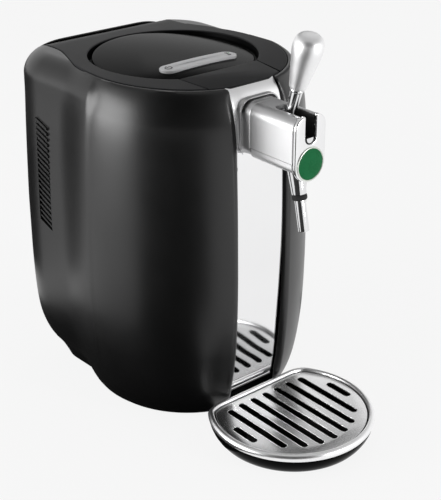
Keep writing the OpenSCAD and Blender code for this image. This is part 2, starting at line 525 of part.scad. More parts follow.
translate([0, frame_y, 0]) spout_collar();
translate([0, frame_y, 0]) spout_seal();
translate([0, frame_y, 0]) spout_tube();
translate([0, frame_y, 0]) tray_base();
translate([0, frame_y, 0]) tray_rim();
translate([0, frame_y, 0]) drip_grille();
translate([0, frame_y, 0]) shell_screws();
translate([0, frame_y, 0]) panel_screws();
translate([0, frame_y, 0]) tap_screws();
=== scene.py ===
import bpy, bmesh, math
import numpy as np
from mathutils import Vector, Matrix


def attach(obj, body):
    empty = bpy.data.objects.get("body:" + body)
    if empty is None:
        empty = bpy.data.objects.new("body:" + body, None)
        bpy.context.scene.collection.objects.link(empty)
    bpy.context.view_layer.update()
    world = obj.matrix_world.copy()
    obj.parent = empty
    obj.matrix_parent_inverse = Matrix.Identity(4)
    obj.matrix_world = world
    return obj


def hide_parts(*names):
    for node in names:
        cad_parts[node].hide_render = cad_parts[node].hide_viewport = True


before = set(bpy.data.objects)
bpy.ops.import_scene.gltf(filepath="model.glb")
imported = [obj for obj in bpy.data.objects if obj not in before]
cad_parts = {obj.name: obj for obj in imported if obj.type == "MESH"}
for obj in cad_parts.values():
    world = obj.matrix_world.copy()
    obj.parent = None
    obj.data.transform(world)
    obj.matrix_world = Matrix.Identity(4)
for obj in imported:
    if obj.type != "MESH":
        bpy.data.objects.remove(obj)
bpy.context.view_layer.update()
OY = -14.0          # the drawing's y to the frame's y, in mm
RNG = np.random.RandomState(7)

# ------------------------------------------------------------------ small maths
def pchip(xs, ys, x):
    xs, ys = np.asarray(xs, float), np.asarray(ys, float)
    h, d = np.diff(xs), np.diff(ys) / np.diff(xs)
    m = np.zeros_like(ys)
    m[0], m[-1] = d[0], d[-1]
    for i in range(1, len(xs) - 1):
        if d[i - 1] * d[i] > 0:
            w1, w2 = 2 * h[i] + h[i - 1], h[i] + 2 * h[i - 1]
            m[i] = (w1 + w2) / (w1 / d[i - 1] + w2 / d[i])
    x = np.clip(np.asarray(x, float), xs[0], xs[-1])
    k = np.clip(np.searchsorted(xs, x, side="right") - 1, 0, len(xs) - 2)
    t = (x - xs[k]) / h[k]
    return ((1 + 2 * t) * (1 - t) ** 2 * ys[k] + t * (1 - t) ** 2 * h[k] * m[k]
            + t * t * (3 - 2 * t) * ys[k + 1] + t * t * (t - 1) * h[k] * m[k + 1])

def smax(a, b, k):
    h = np.clip(k - np.abs(a - b), 0, None) / k
    return np.maximum(a, b) + h * h * k * 0.25

def smin(a, b, k):
    return -smax(-a, -b, k)

def resample(pts, n, closed=False):
    p = np.asarray(pts, float)
    if closed:
        p = np.vstack([p, p[:1]])
    s = np.r_[0, np.cumsum(np.linalg.norm(np.diff(p, axis=0), axis=1))]
    t = np.linspace(0, s[-1], n + 1)[:-1] if closed else np.linspace(0, s[-1], n)
    return np.stack([np.interp(t, s, p[:, i]) for i in range(p.shape[1])], 1)

def spline(pts, n):
    """Points evenly spaced on a smooth curve through pts."""
    p = np.asarray(pts, float)
    s = np.r_[0, np.cumsum(np.linalg.norm(np.diff(p, axis=0), axis=1))]
    t = np.linspace(0, s[-1], n * 6)
    out = []
    for i in range(p.shape[1]):
        m = np.gradient(p[:, i], s)
        k = np.clip(np.searchsorted(s, t, side="right") - 1, 0, len(s) - 2)
        h = s[k + 1] - s[k]
        u = (t - s[k]) / h
        out.append((1 + 2 * u) * (1 - u) ** 2 * p[k, i] + u * (1 - u) ** 2 * h * m[k]
                   + u * u * (3 - 2 * u) * p[k + 1, i] + u * u * (u - 1) * h * m[k + 1])
    return resample(np.stack(out, 1), n)

def gauss(q, sig):
    """Even out a chain of points; the ends stay put."""
    q = np.asarray(q, float)
    w = np.exp(-.5 * (np.arange(-3 * sig, 3 * sig + 1) / sig) ** 2)
    w /= w.sum()
    pad = np.vstack([2 * q[0] - q[3 * sig:0:-1], q, 2 * q[-1] - q[-2:-3 * sig - 2:-1]])
    return np.stack([np.convolve(pad[:, k], w, "valid") for k in range(q.shape[1])], 1)

def arc(cx, cy, r, a0, a1, n=8):
    a = np.radians(np.linspace(a0, a1, n + 1))
    return [(cx + r * math.cos(t), cy + r * math.sin(t)) for t in a]

def rrect(x0, x1, y0, y1, r, n=8):
    return np.array(arc(x1 - r, y0 + r, r, -90, 0, n) + arc(x1 - r, y1 - r, r, 0, 90, n)
                    + arc(x0 + r, y1 - r, r, 90, 180, n) + arc(x0 + r, y0 + r, r, 180, 270, n))

# ------------------------------------------------------------------ mesh building, in mm
def mesh_object(name, verts, faces, sharp=32):
    v = np.array(verts, float).reshape(-1, 3).copy()
    v[:, 1] += OY
    v *= 0.001
    me = bpy.data.meshes.new(name)
    me.from_pydata([tuple(p) for p in v], [], [tuple(int(i) for i in f) for f in faces])
    me.validate()
    bm = bmesh.new()
    bm.from_mesh(me)
    bmesh.ops.remove_doubles(bm, verts=bm.verts, dist=2e-6)
    bmesh.ops.recalc_face_normals(bm, faces=bm.faces)
    bm.to_mesh(me)
    bm.free()
    ob = bpy.data.objects.new(name, me)
    bpy.context.scene.collection.objects.link(ob)
    shade(ob, sharp)
    return ob

def shade(ob, sharp=32):
    me = ob.data
    me.polygons.foreach_set("use_smooth", [True] * len(me.polygons))
    me.set_sharp_from_angle(angle=math.radians(sharp))
    me.update()

def grid(P, wu=False, wv=False, cap0=False, cap1=False):
    """P[row, column, xyz] as vertices and quads. wu closes the rows, wv the columns, caps close the first and last row."""
    n, m = P.shape[:2]
    f = []
    for i in range(n if wv else n - 1):
        a, b = i * m, ((i + 1) % n) * m
        for j in range(m if wu else m - 1):
            k = (j + 1) % m
            f.append((a + j, a + k, b + k, b + j))
    if cap0:
        f.append(tuple(range(m))[::-1])
    if cap1:
        f.append(tuple((n - 1) * m + j for j in range(m)))
    return P.reshape(-1, 3), f

def join(*parts):
    vs, fs, o = [], [], 0
    for v, f in parts:
        v = np.asarray(v, float).reshape(-1, 3)
        vs.append(v)
        fs += [tuple(i + o for i in q) for q in f]
        o += len(v)
    return np.vstack(vs), fs

def lathe(prof, n=96, closed=False):
    """prof is (r, z); r 0 ends are closed to a point by merging."""
    p = np.asarray(prof, float)
    a = np.linspace(0, 2 * math.pi, n, endpoint=False)
    P = np.zeros((len(p), n, 3))
    P[:, :, 0] = p[:, 0:1] * np.cos(a)
    P[:, :, 1] = p[:, 0:1] * np.sin(a)
    P[:, :, 2] = p[:, 1:2]
    return grid(P, wu=True, wv=closed)

def place(vf, M):
    v, f = vf
    v = np.asarray(v, float).reshape(-1, 3)
    R = np.array(M.to_3x3())
    return v @ R.T + np.array(M.translation), f

def normals2(q):
    d = np.roll(q, -1, 0) - np.roll(q, 1, 0)
    d /= np.linalg.norm(d, axis=1, keepdims=True) + 1e-12
    return np.stack([d[:, 1], -d[:, 0]], 1)      # outward for an anticlockwise outline

def ccw(q):
    q = np.asarray(q, float)
    a = np.sum(q[:, 0] * np.roll(q[:, 1], -1) - np.roll(q[:, 0], -1) * q[:, 1])
    return q if a > 0 else q[::-1].copy()

def slab(outline, z0, z1, b0=0.0, b1=0.6, nb=4):
    """A plate with rounded edges: outline in 2D, from z0 to z1, edge radii b0 and b1. Returns rows as (outline, height)."""
    q = ccw(outline)
    nrm = normals2(q)
    rows = []
    if b0 > 0:
        rows += [(q - nrm * b0 * (1 - math.sin(t)), z0 + b0 * (1 - math.cos(t))) for t in np.linspace(0, math.pi / 2, nb + 1)]
    else:
        rows.append((q, z0))
    if b1 > 0:
        rows += [(q - nrm * b1 * (1 - math.cos(t)), z1 - b1 * (1 - math.sin(t))) for t in np.linspace(0, math.pi / 2, nb + 1)]
    else:
        rows.append((q, z1))
    P = np.zeros((len(rows), len(q), 3))
    for i, (o, z) in enumerate(rows):
        P[i, :, :2] = o
        P[i, :, 2] = z
    return grid(P, wu=True, cap0=True, cap1=True)

# local (x, y, z) of slab() turned so that its height runs along -Y: x stays, y becomes z
FACE = Matrix(((1, 0, 0, 0), (0, 0, -1, 0), (0, 1, 0, 0), (0, 0, 0, 1)))
SIDE = Matrix(((0, 0, 1, 0), (1, 0, 0, 0), (0, 1, 0, 0), (0, 0, 0, 1)))   # outline (y, z), height along X

def apply_modifiers(ob, sharp=32):
    bpy.context.view_layer.update()
    dg = bpy.context.evaluated_depsgraph_get()
    me = bpy.data.meshes.new_from_object(ob.evaluated_get(dg))
    old = ob.data
    ob.modifiers.clear()
    ob.data = me
    bpy.data.meshes.remove(old)
    shade(ob, sharp)
    return ob

def cut(ob, *tools, op="DIFFERENCE", sharp=32):
    for i, t in enumerate(tools):
        c = mesh_object("cutter", *t)
        m = ob.modifiers.new("cut", "BOOLEAN")
        m.operation, m.solver, m.object = op, "EXACT", c
        apply_modifiers(ob, sharp)
        bpy.data.objects.remove(c)
    return ob

def box(x0, x1, y0, y1, z0, z1):
    v = [(x, y, z) for z in (z0, z1) for y in (y0, y1) for x in (x0, x1)]
    return v, [(0, 2, 3, 1), (4, 5, 7, 6), (0, 1, 5, 4), (1, 3, 7, 5), (3, 2, 6, 7), (2, 0, 4, 6)]

MATS = {}
def piece(name, vf, mat, body="root", replaces=(), sharp=32):
    ob = mesh_object(name, *vf, sharp=sharp)
    return dress(ob, mat, body, replaces)

def dress(ob, mat, body="root", replaces=()):
    ob.data.materials.clear()
    ob.data.materials.append(MATS[mat])
    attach(ob, body)
    if replaces:
        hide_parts(*replaces)
    return ob

# ------------------------------------------------------------------ materials
def new_mat(name):
    m = bpy.data.materials.new(name)
    m.use_nodes = True
    nt = m.node_tree
    nt.nodes.clear()
    out = nt.nodes.new("ShaderNodeOutputMaterial")
    sh = nt.nodes.new("ShaderNodeBsdfPrincipled")
    nt.links.new(sh.outputs[0], out.inputs[0])
    MATS[name] = m
    return m, nt, sh

def N(nt, kind, **kw):
    n = nt.nodes.new(kind)
    for k, v in kw.items():
        if k in n.inputs:
            n.inputs[k].default_value = v
        else:
            setattr(n, k, v)
    return n

def coords(nt, scale=(1, 1, 1)):
    tc = N(nt, "ShaderNodeTexCoord")
    mp = N(nt, "ShaderNodeMapping")
    mp.inputs["Scale"].default_value = scale
    nt.links.new(tc.outputs["Object"], mp.inputs[0])
    return mp.outputs[0]

def noise(nt, vec, scale, detail=3.0, rough=0.55):
    n = N(nt, "ShaderNodeTexNoise")
    n.inputs["Scale"].default_value = scale
    n.inputs["Detail"].default_value = detail
    n.inputs["Roughness"].default_value = rough
    nt.links.new(vec, n.inputs["Vector"])
    return n.outputs[0]

def ranged(nt, fac, lo, hi, a=0.3, b=0.7):
    r = N(nt, "ShaderNodeMapRange")
    r.inputs["From Min"].default_value, r.inputs["From Max"].default_value = a, b
    r.inputs["To Min"].default_value, r.inputs["To Max"].default_value = lo, hi
    nt.links.new(fac, r.inputs[0])
    return r.outputs[0]

def tint(nt, fac, c0, c1, a=0.3, b=0.7):
    r = N(nt, "ShaderNodeValToRGB")
    r.color_ramp.elements[0].position, r.color_ramp.elements[1].position = a, b
    r.color_ramp.elements[0].color, r.color_ramp.elements[1].color = (*c0, 1), (*c1, 1)
    nt.links.new(fac, r.inputs[0])
    return r.outputs[0]

def bump(nt, sh, height, strength=0.1, dist=0.0005):
    b = N(nt, "ShaderNodeBump")
    b.inputs["Strength"].default_value, b.inputs["Distance"].default_value = strength, dist
    nt.links.new(height, b.inputs["Height"])
    nt.links.new(b.outputs[0], sh.inputs["Normal"])

def shader(name, c0, c1, rough, metallic=0.0, grain=900, grain_bump=0.08, dist=0.0002, mottle=14, spec=0.5,
           coat=0.0, coat_rough=0.1, stretch=(1, 1, 1), ior=1.5):
    """Principled surface with large soft mottling of colour and roughness and a fine grain in the bump."""
    m, nt, sh = new_mat(name)
    v = coords(nt, stretch)
    big = noise(nt, coords(nt), mottle, 4)
    fine = noise(nt, v, grain, 2)
    nt.links.new(tint(nt, big, c0, c1), sh.inputs["Base Color"])
    mixr = N(nt, "ShaderNodeMath", operation="ADD")
    nt.links.new(ranged(nt, big, rough[0], rough[1]), mixr.inputs[0])
    nt.links.new(ranged(nt, fine, -0.02, 0.02), mixr.inputs[1])
    nt.links.new(mixr.outputs[0], sh.inputs["Roughness"])
    sh.inputs["Metallic"].default_value = metallic
    sh.inputs["IOR"].default_value = ior
    sh.inputs["Specular IOR Level"].default_value = spec
    sh.inputs["Coat Weight"].default_value = coat
    sh.inputs["Coat Roughness"].default_value = coat_rough
    if grain_bump > 0:
        bump(nt, sh, fine, grain_bump, dist)
    return m

K = 0.001
shader("shell", (.0012, .0012, .0013), (.0018, .0018, .0019), (.30, .36), grain=1600, grain_bump=.10, dist=.00008, spec=.58)
shader("ring", (.015, .015, .016), (.019, .019, .020), (.44, .50), grain=1800, grain_bump=.16, dist=.0001, spec=.10)
# recess_shade: near-black plastic for the lid ring's inner wall, painted shade in the gap round the disc
shader("recess_shade", (.0020, .0020, .0022), (.003, .003, .0032), (.3, .38), grain=900, grain_bump=.05, dist=.0001, spec=.05)
shader("gloss", (.0012, .0012, .0013), (.0017, .0017, .0018), (.12, .16), grain=300, grain_bump=.02, dist=.0001, spec=.02)
shader("black", (.010, .010, .010), (.017, .017, .017), (.45, .6), grain=1400, grain_bump=.2, dist=.0001)
shader("deck", (.020, .020, .021), (.027, .027, .028), (.45, .55), grain=1400, grain_bump=.2, dist=.0001)
shader("rubber", (.012, .012, .012), (.022, .022, .022), (.7, .85), grain=2200, grain_bump=.3, dist=.0001, spec=.3)
shader("chrome", (.80, .80, .81), (.84, .84, .845), (.06, .10), metallic=1, grain=220, grain_bump=.012, dist=.0002, mottle=9)
shader("rim", (.93, .93, .935), (.96, .96, .965), (.30, .36), metallic=1, grain=900, grain_bump=.03, dist=.0001)
shader("plate", (.86, .86, .865), (.90, .90, .905), (.22, .28), metallic=1, grain=900, grain_bump=.02, dist=.0001)
shader("column", (.90, .90, .905), (.93, .93, .935), (.05, .08), metallic=1, grain=160, grain_bump=.01, dist=.0002, mottle=7)
shader("satin_chrome", (.58, .58, .585), (.63, .63, .635), (.40, .46), metallic=1, grain=2600, grain_bump=.05, dist=.00006, stretch=(1, .25, 1))
shader("face_chrome", (.88, .88, .885), (.92, .92, .925), (.16, .2), metallic=1, grain=2600, grain_bump=.03, dist=.00006)
shader("knob", (.88, .88, .885), (.93, .93, .935), (.40, .46), metallic=1, grain=3200, grain_bump=.07, dist=.00006, stretch=(1, 1, .3))
shader("strip", (.60, .60, .61), (.66, .66, .67), (.42, .48), metallic=.2, grain=3000, grain_bump=.08, dist=.00005, stretch=(.2, 1, 1))
shader("steel", (.50, .50, .51), (.58, .58, .59), (.28, .38), metallic=1, grain=1800, grain_bump=.08, dist=.00008, stretch=(1, 1, .2))
shader("dark_steel", (.10, .10, .10), (.15, .15, .15), (.4, .5), metallic=1, grain=1500, grain_bump=.1, dist=.00008)
shader("aluminium", (.60, .61, .62), (.67, .68, .69), (.32, .42), metallic=1, grain=1500, grain_bump=.12, dist=.0001, stretch=(1, 1, .1))
shader("foam", (.66, .66, .62), (.74, .74, .70), (.8, .95), grain=700, grain_bump=.6, dist=.0006, mottle=40, spec=.2)
shader("white_plastic", (.70, .70, .66), (.76, .76, .72), (.35, .45), grain=1200, grain_bump=.06, dist=.0001)
shader("silicone", (.62, .62, .58), (.70, .70, .66), (.45, .55), grain=900, grain_bump=.1, dist=.0001)
shader("pcb", (.010, .075, .035), (.018, .11, .05), (.3, .45), grain=500, grain_bump=.25, dist=.0003, mottle=120)
shader("ceramic", (.74, .74, .70), (.80, .80, .77), (.4, .5), grain=1100, grain_bump=.12, dist=.0001)
shader("badge_green", (.002, .105, .030), (.003, .125, .038), (.25, .31), grain=700, grain_bump=.03, dist=.0001, mottle=60, spec=.12)
shader("badge_rim", (.62, .66, .60), (.70, .73, .68), (.25, .32), metallic=.5, grain=900, grain_bump=.05, dist=.0001)
shader("lens", (.05, .30, .08), (.08, .40, .11), (.12, .18), grain=600, grain_bump=.03, dist=.0001, coat=.5, coat_rough=.05)
shader("icon", (.02, .02, .022), (.035, .035, .037), (.35, .45), grain=900, grain_bump=.05, dist=.0001)
shader("epoxy", (.02, .02, .025), (.035, .035, .04), (.3, .4), grain=500, grain_bump=.1, dist=.0002)

# ------------------------------------------------------------------ housing surface
BARREL = [(104, 3), (110, 8), (116, 18), (120.5, 30), (124.3, 46), (127.7, 68), (130.4, 95), (132.0, 130), (132.5, 170), (132.2, 200),
          (131.6, 240), (130.2, 290), (128.6, 322), (126.4, 343), (123.2, 356), (119.4, 367), (115.6, 375), (112.8, 379.4)]
REAR = [(44, 3), (48.5, 13), (55, 25), (64, 38), (71, 54), (75, 70), (77.3, 92), (78.5, 119), (79, 150), (79, 200), (78, 250),
        (76.5, 298), (75, 338)] + [(47.6 + 27.4 * math.cos(math.radians(a)), 352.4 + 27.4 * math.sin(math.radians(a))) for a in range(8, 90, 8)]
RCX, RCY = 49.0, 156.0
ZT = 379.9
def crown(x, y):
    return ZT - 0.00016 * (y - 85) ** 2

def barrel_r(z):
    p = np.array(BARREL)
    return pchip(p[:, 1], p[:, 0], z)

def rear_r(z):
    p = np.array(REAR)
    return pchip(p[:, 1], p[:, 0], z)

def rear_ray(phi, r):
    """Distance from the keg axis to the rear part's outline of corner radius r, in direction phi from the front."""
    s, c = math.sin(phi), -math.cos(phi)
    r = np.asarray(r, float)
    rx = (RCX + r) / max(s, 1e-6)
    ry = (RCY - 55 + r) / max(c, 1e-6)
    b = RCX * s + (RCY - 55) * c
    disc = np.clip(b * b - (RCX ** 2 + (RCY - 55) ** 2 - r * r), 0, None)
    rc = b + np.sqrt(disc)
    out = np.where(rx * c <= RCY - 55, rx, np.where(ry * s <= RCX, ry, rc))
    d = math.degrees(phi)
    if d < 90:
        out = np.minimum(out, RCX + r) * (1 - 0.012 * (90 - d))
    return out

ZS = np.r_[np.linspace(3, 60, 24), np.linspace(64, 335, 60)[0:], np.linspace(337, 379.4, 60)]
def profile(phi):
    """(distance, height) up the wall, over the shoulder and in to the lid seam."""
    r = smax(barrel_r(ZS), rear_ray(phi, rear_r(ZS)), 9.0)
    return np.stack([r, ZS], 1)

def lid_plan():
    """The seam round the lid and its tail, from the front middle round the +X side to the rear middle, as (x, y)."""
    a = np.radians(np.linspace(0, 90, 60))
    front = np.stack([111 * np.sin(a), 59 - 111 * np.cos(a)], 1)
    y = np.linspace(60, 204, 90)
    side = np.stack([pchip([59, 80, 101, 118, 134, 150, 164, 182, 215], [111, 110.2, 107, 102, 96, 90, 86, 84.4, 84], y), y], 1)
    end = np.array(arc(80, 205.5, 4, 0, 90, 5) + [(60, 209.5), (30, 209.5), (0, 209.5)])
    return np.vstack([front, side, end])
SEAM = lid_plan()

def seam_ray(phi, gap):
    q = SEAM - np.array([0, 55.0])
    ang = np.arctan2(q[:, 0], -q[:, 1])
    rad = np.hypot(q[:, 0], q[:, 1]) + gap
    return float(np.interp(phi, ang, rad))

NW, NSH = 64, 26
def column_pts(phi):
    p = profile(phi)
    s = seam_ray(phi, 0.5)
    s = s + 2.4 * min(max((55 - s * math.cos(phi) - 203) / 4, 0), 1)
    k = np.searchsorted(p[:, 1], 335)
    wall = np.stack([np.interp(np.linspace(3, 335, NW) ** 1.0, p[:, 1], p[:, 0]), np.linspace(3, 335, NW)], 1)
    top = p[k:]
    top = np.vstack([[np.interp(335, p[:, 1], p[:, 0]), 335], top])
    over = np.where(top[:, 0] < s)[0]
    if len(over):
        i = over[0]
        a, b = top[i - 1], top[i]
        t = (a[0] - s) / (a[0] - b[0])
        top = np.vstack([top[:i], a + (b - a) * t])
    else:
        top = np.vstack([top, [(top[-1, 0] * (1 - t) + s * t, top[-1, 1]) for t in np.linspace(.1, 1, 10)]])
    top = resample(top, NSH)
    rows = np.vstack([[[wall[0, 0] - 4.0, 3.0]], [[wall[0, 0] - 0.8, 3.0]], wall, top[1:]])
    e = top[-1]
    k = .1 if 55 - e[0] * math.cos(phi) > 196 else 1.0       # short beside the hinge, so that the tail clears it
    lip = [(e[0] - .35, e[1] - .35), (e[0] - .5, e[1] - 1.0), (e[0] - .5, e[1] - 1 - 5 * k), (e[0] - .5, e[1] - 1 - 12 * k)]
    return np.vstack([rows, lip])

def half_shell(sgn, ncol=150):
    u = np.r_[np.linspace(0, .021, 10), np.linspace(.026, 1, ncol - 10)]
    cols = []
    for t in u:
        rows = None
        phi = 0.24 + (math.pi - 0.24) * t
        rows = column_pts(phi)
        for _ in range(2):
            phi0 = np.arcsin(np.clip(32.6 / rows[:, 0], -1, 1))
            ph = phi0 + (math.pi - phi0) * t
            if t > 0.35:
                break
            rr = np.array([np.interp(i, [i], [column_pts(ph[i])[i, 0]])[()] if i % 8 == 0 else np.nan for i in range(len(rows))])
            ok = ~np.isnan(rr)
            rows = rows.copy()
            rows[:, 0] = rows[:, 0] + np.interp(np.arange(len(rows)), np.where(ok)[0], (rr - rows[:, 0])[ok])
        phi0 = np.arcsin(np.clip(32.6 / rows[:, 0], -1, 1))
        ph = phi0 + (math.pi - phi0) * t
        edge = np.clip((ph - phi0) * rows[:, 0] / 7.5, 0, 1)
        rows = rows.copy()
        rows[:, 0] -= 6.3 * (1 - np.sqrt(1 - (1 - edge) ** 2)) * np.clip((377 - rows[:, 1]) / 14, 0, 1) * np.clip((rows[:, 1] - 10) / 30, 0.1, 1)
        x = rows[:, 0] * np.sin(ph)
        y = 55 - rows[:, 0] * np.cos(ph)
        z = rows[:, 1]
        # the top follows the shallow crown
        z = z + np.where(z > 330, (crown(x, y) - ZT) * np.clip((z - 330) / 45, 0, 1), 0)
        cols.append(np.stack([np.clip(x, 0.12, 132.9) * sgn, y, z], 1))
    P = np.stack(cols, 1)
    ob = mesh_object("shell", *grid(P), sharp=50)
    m = ob.modifiers.new("wall", "SOLIDIFY")
    m.thickness, m.offset, m.use_even_offset = 0.0022, -1, False
    bm = bmesh.new(); bm.from_mesh(ob.data)
    # the outside faces away from the axis
    f = bm.faces[:] ; s = 0.0
    for q in f[::37]:
        c = q.calc_center_median()
        s += q.normal.x * c.x + q.normal.y * (c.y - (55 + OY) * .001) + q.normal.z * (c.z - .2)
    if s < 0:
        bmesh.ops.reverse_faces(bm, faces=bm.faces)
    bm.to_mesh(ob.data); bm.free()
    apply_modifiers(ob, 50)
    bm = bmesh.new(); bm.from_mesh(ob.data)
    bmesh.ops.recalc_face_normals(bm, faces=bm.faces)
    bm.to_mesh(ob.data); bm.free()
    shade(ob, 50)
    return ob

VENT = [(133, 188), (155.5, 196), (155.5, 316), (133, 309)]
vent_cut = ([(x, y, z) for x in (100, 150) for (y, z) in VENT],
            [(0, 1, 2, 3), (7, 6, 5, 4), (0, 4, 5, 1), (1, 5, 6, 2), (2, 6, 7, 3), (3, 7, 4, 0)])
right = half_shell(1)
cut(right, vent_cut, box(-47.3, 47.3, 222, 260, 151.7, 344.3), sharp=50)
left = bpy.data.objects.new("left_shell_skin", right.data.copy())
bpy.context.scene.collection.objects.link(left)
left.data.transform(Matrix.Diagonal((-1, 1, 1, 1)))
left.data.flip_normals()
right.name = "right_shell_skin"
dress(right, "shell", "root", ("right_shell",))
dress(left, "shell", "root", ("left_shell",))

# strip behind the joint line at the rear
bp = column_pts(math.pi)[1:66]
SB = np.zeros((len(bp), 4, 3))
for i, (r, z) in enumerate(bp):
    for j, (x, k) in enumerate(((-5, 2.35), (5, 2.35), (5, 3.2), (-5, 3.2))):
        SB[i, j] = (x, 55 + r - k, z)
piece("rear_joint", grid(SB, wu=True, cap0=True, cap1=True), "black", "root", (), 40)

# ------------------------------------------------------------------ carried-over nodes
CAD_MATS = {"left_shell": "shell", "right_shell": "shell", "base_plate": "black", "rubber_feet": "rubber", "side_vents": "black", "back_panel": "black", "fan_guard": "black",
    "front_panel": "column", "well_deck": "deck", "keg_well": "aluminium", "well_insulation": "foam", "thermistor": "epoxy",
    "cold_block": "aluminium", "peltier_module": "ceramic", "heatsink": "aluminium", "fan_frame": "black", "fan_rotor": "black",
    "power_board": "pcb", "mains_inlet": "black", "hinge_brackets": "steel", "lid_hinge_pin": "steel", "latch_keeper": "steel",
    "hose_barb": "white_plastic", "lid_frame": "ring", "lid_disc": "gloss", "lid_liner": "deck", "lid_gasket": "rubber",
    "control_strip": "strip", "temp_lens": "lens", "control_board": "pcb", "power_button": "strip", "button_spring": "steel",
    "lid_release": "ring", "release_spring": "steel", "tap_collar": "chrome", "tap_body": "satin_chrome",
    "tap_bottom_cover": "satin_chrome", "tap_face": "face_chrome", "badge": "badge_green", "tap_channel": "black",
    "lever_stop": "chrome", "lever_pin": "steel", "lever_stem": "chrome", "lever_knob": "knob", "pinch_plunger": "white_plastic",
    "plunger_spring": "steel", "tap_hose": "silicone", "spout_collar": "chrome", "spout_seal": "rubber", "spout_tube": "chrome",
    "tray_base": "gloss", "tray_rim": "chrome", "drip_grille": "chrome", "shell_screws": "steel", "panel_screws": "dark_steel",
    "tap_screws": "steel"}
for n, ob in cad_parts.items():
    ob.data.materials.clear()
    ob.data.materials.append(MATS[CAD_MATS[n]])

# ------------------------------------------------------------------ lid
LC = 76.0
PHI = np.linspace(-math.pi, math.pi, 361)[:-1]
def polar(poly, phi, yc=LC):
    q = poly - np.array([0, yc])
    return np.interp(np.abs(phi), np.arctan2(q[:, 0], -q[:, 1]), np.hypot(q[:, 0], q[:, 1]))

def chord(phi, d):
    c = np.cos(phi)
    return np.where(c > .05, d / np.maximum(c, .05), 999.0)

def oval(phi, a, b):
    return 1 / np.sqrt((np.sin(phi) / a) ** 2 + (np.cos(phi) / b) ** 2)

def lid_top(x, y):
    z = crown(x, y)
    z = z - np.clip((y - 184) / 12, 0, 1) ** 2 * 1.2
    over = np.clip(y - 196, 0, 11.9)
    return z - (12 - np.sqrt(144 - over * over))

ro = smin(polar(SEAM, PHI), chord(PHI, LC + 48.4), 1.5) - 0.7
ri = smin(oval(PHI, 91.5, 91.2), chord(PHI, LC - .2), 6.0)
rows = [(ro - 1.2, -11.0), (ro - .1, -10.4), (ro, -9.5), (ro, -4.0), (ro, -1.5)]
for t in np.linspace(10, 90, 6):
    t = math.radians(t)
    rows.append((ro - 1.3 * (1 - math.cos(t)), -1.3 * (1 - math.sin(t))))
for t in np.linspace(.05, 1, 14):
    rows.append(((ro - 1.3) * (1 - t) + (ri + 1.3) * t, 0.0))
for t in np.linspace(10, 90, 9):
    t = math.radians(t)
    rows.append((ri + 1.3 - 1.3 * math.sin(t), -1.3 * (1 - math.cos(t))))
rows += [(ri - .4, -7.5), (ri - .9, -9.2), (ri - 2.2, -10.4), (ri - 5, -10.9), (ri - 13, -11.1), (ri - 13, -12.6), (ri + 1, -12.6)]
P = np.zeros((len(rows), len(PHI), 3))
for i, (r, dz) in enumerate(rows):
    P[i, :, 0] = r * np.sin(PHI)
    P[i, :, 1] = LC - r * np.cos(PHI)
    P[i, :, 2] = lid_top(P[i, :, 0], P[i, :, 1]) + dz
sy, sz = P[:, :, 1] - 196, P[:, :, 2] - 365
sr = np.hypot(sy, sz)
pull = np.where((sy > 2) & (sz < 6) & (sr > 13.0), 13.0 / np.maximum(sr, 1), 1.0)
P[:, :, 1], P[:, :, 2] = 196 + sy * pull, 365 + sz * pull
ring = mesh_object("lid_ring", *grid(P, wu=True, wv=True), sharp=40)
wv = [(x, y, z) for z in (360.0, 400.0) for (x, y) in ((-52.6, 1.4), (52.6, 1.4), (46.0, -60), (-46.0, -60))]
cut(ring, (wv, [(3, 2, 1, 0), (4, 5, 6, 7), (0, 1, 5, 4), (1, 2, 6, 5), (2, 3, 7, 6), (3, 0, 4, 7)]), sharp=40)
cut(ring, box(-66.5, -59.5, 172, 213, 340, 374), box(59.5, 66.5, 172, 213, 340, 374), sharp=40)
dress(ring, "ring", "lid", ("lid_frame",))
# the inner wall of the ring, down into the well, takes the near-black second material: painted shade in the gap round
# the disc
ring.data.materials.append(MATS["recess_shade"])
for q in ring.data.polygons:
    c = q.center * 1000
    cy = c.y - OY
    inside = math.hypot(c.x / 93.0, (cy - LC) / 93.0) < 1 and cy > -.5
    if inside and c.z < lid_top(c.x, cy) - 1.0:
        q.material_index = 1

# press bar between the disc and the column
fa = np.linspace(-46.0, 46.0, 60)
front = [(x, max(59 - math.sqrt(110.2 ** 2 - x * x), -48.3)) for x in fa if abs(x) <= 47.6 - 0 * x]
bar = np.array(front + [(51.6, -.9)] + arc(50.6, -.6, 1, 0, 90, 4) + arc(-50.6, -.6, 1, 90, 180, 4))
bar = resample(bar, 260, closed=True)
v, f = slab(bar, ZT - 7.0, ZT, 0.3, 1.0, 5)
v = v.copy(); v[:, 2] += crown(v[:, 0], v[:, 1]) - ZT
piece("press_bar", (v, f), "ring", "release", ("lid_release",), 40)

# wound springs under the press bar, short enough for its travel
rb = [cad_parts["release_spring"].matrix_world @ v.co * 1000 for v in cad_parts["release_spring"].data.vertices]
rb = np.array([tuple(v) for v in rb])
for k, side in enumerate((rb[rb[:, 0] < 0], rb[rb[:, 0] > 0])):
    c0, c1 = side.min(0), side.max(0)
    cx, cy, rr = (c0[0] + c1[0]) / 2, (c0[1] + c1[1]) / 2 - OY, (c1[0] - c0[0]) / 2 - .4
    zz = (c0[2], c1[2] - 3.0)
    t = np.linspace(0, 2 * math.pi * 4, 120)
    mid = np.stack([cx + rr * np.cos(t), cy + rr * np.sin(t), np.linspace(zz[0] + .4, zz[1] - .4, len(t))], 1)
    P = np.zeros((len(t), 8, 3))
    for i in range(len(t)):
        o = np.array([math.cos(t[i]), math.sin(t[i]), 0])
        for j in range(8):
            q = j * math.pi / 4
            P[i, j] = mid[i] + .38 * (math.cos(q) * o + math.sin(q) * np.array([0, 0, 1]))
    piece("press_spring_%d" % k, grid(P, wu=True, cap0=True, cap1=True), "steel", "lid", ("release_spring",) if k == 0 else (), 40)

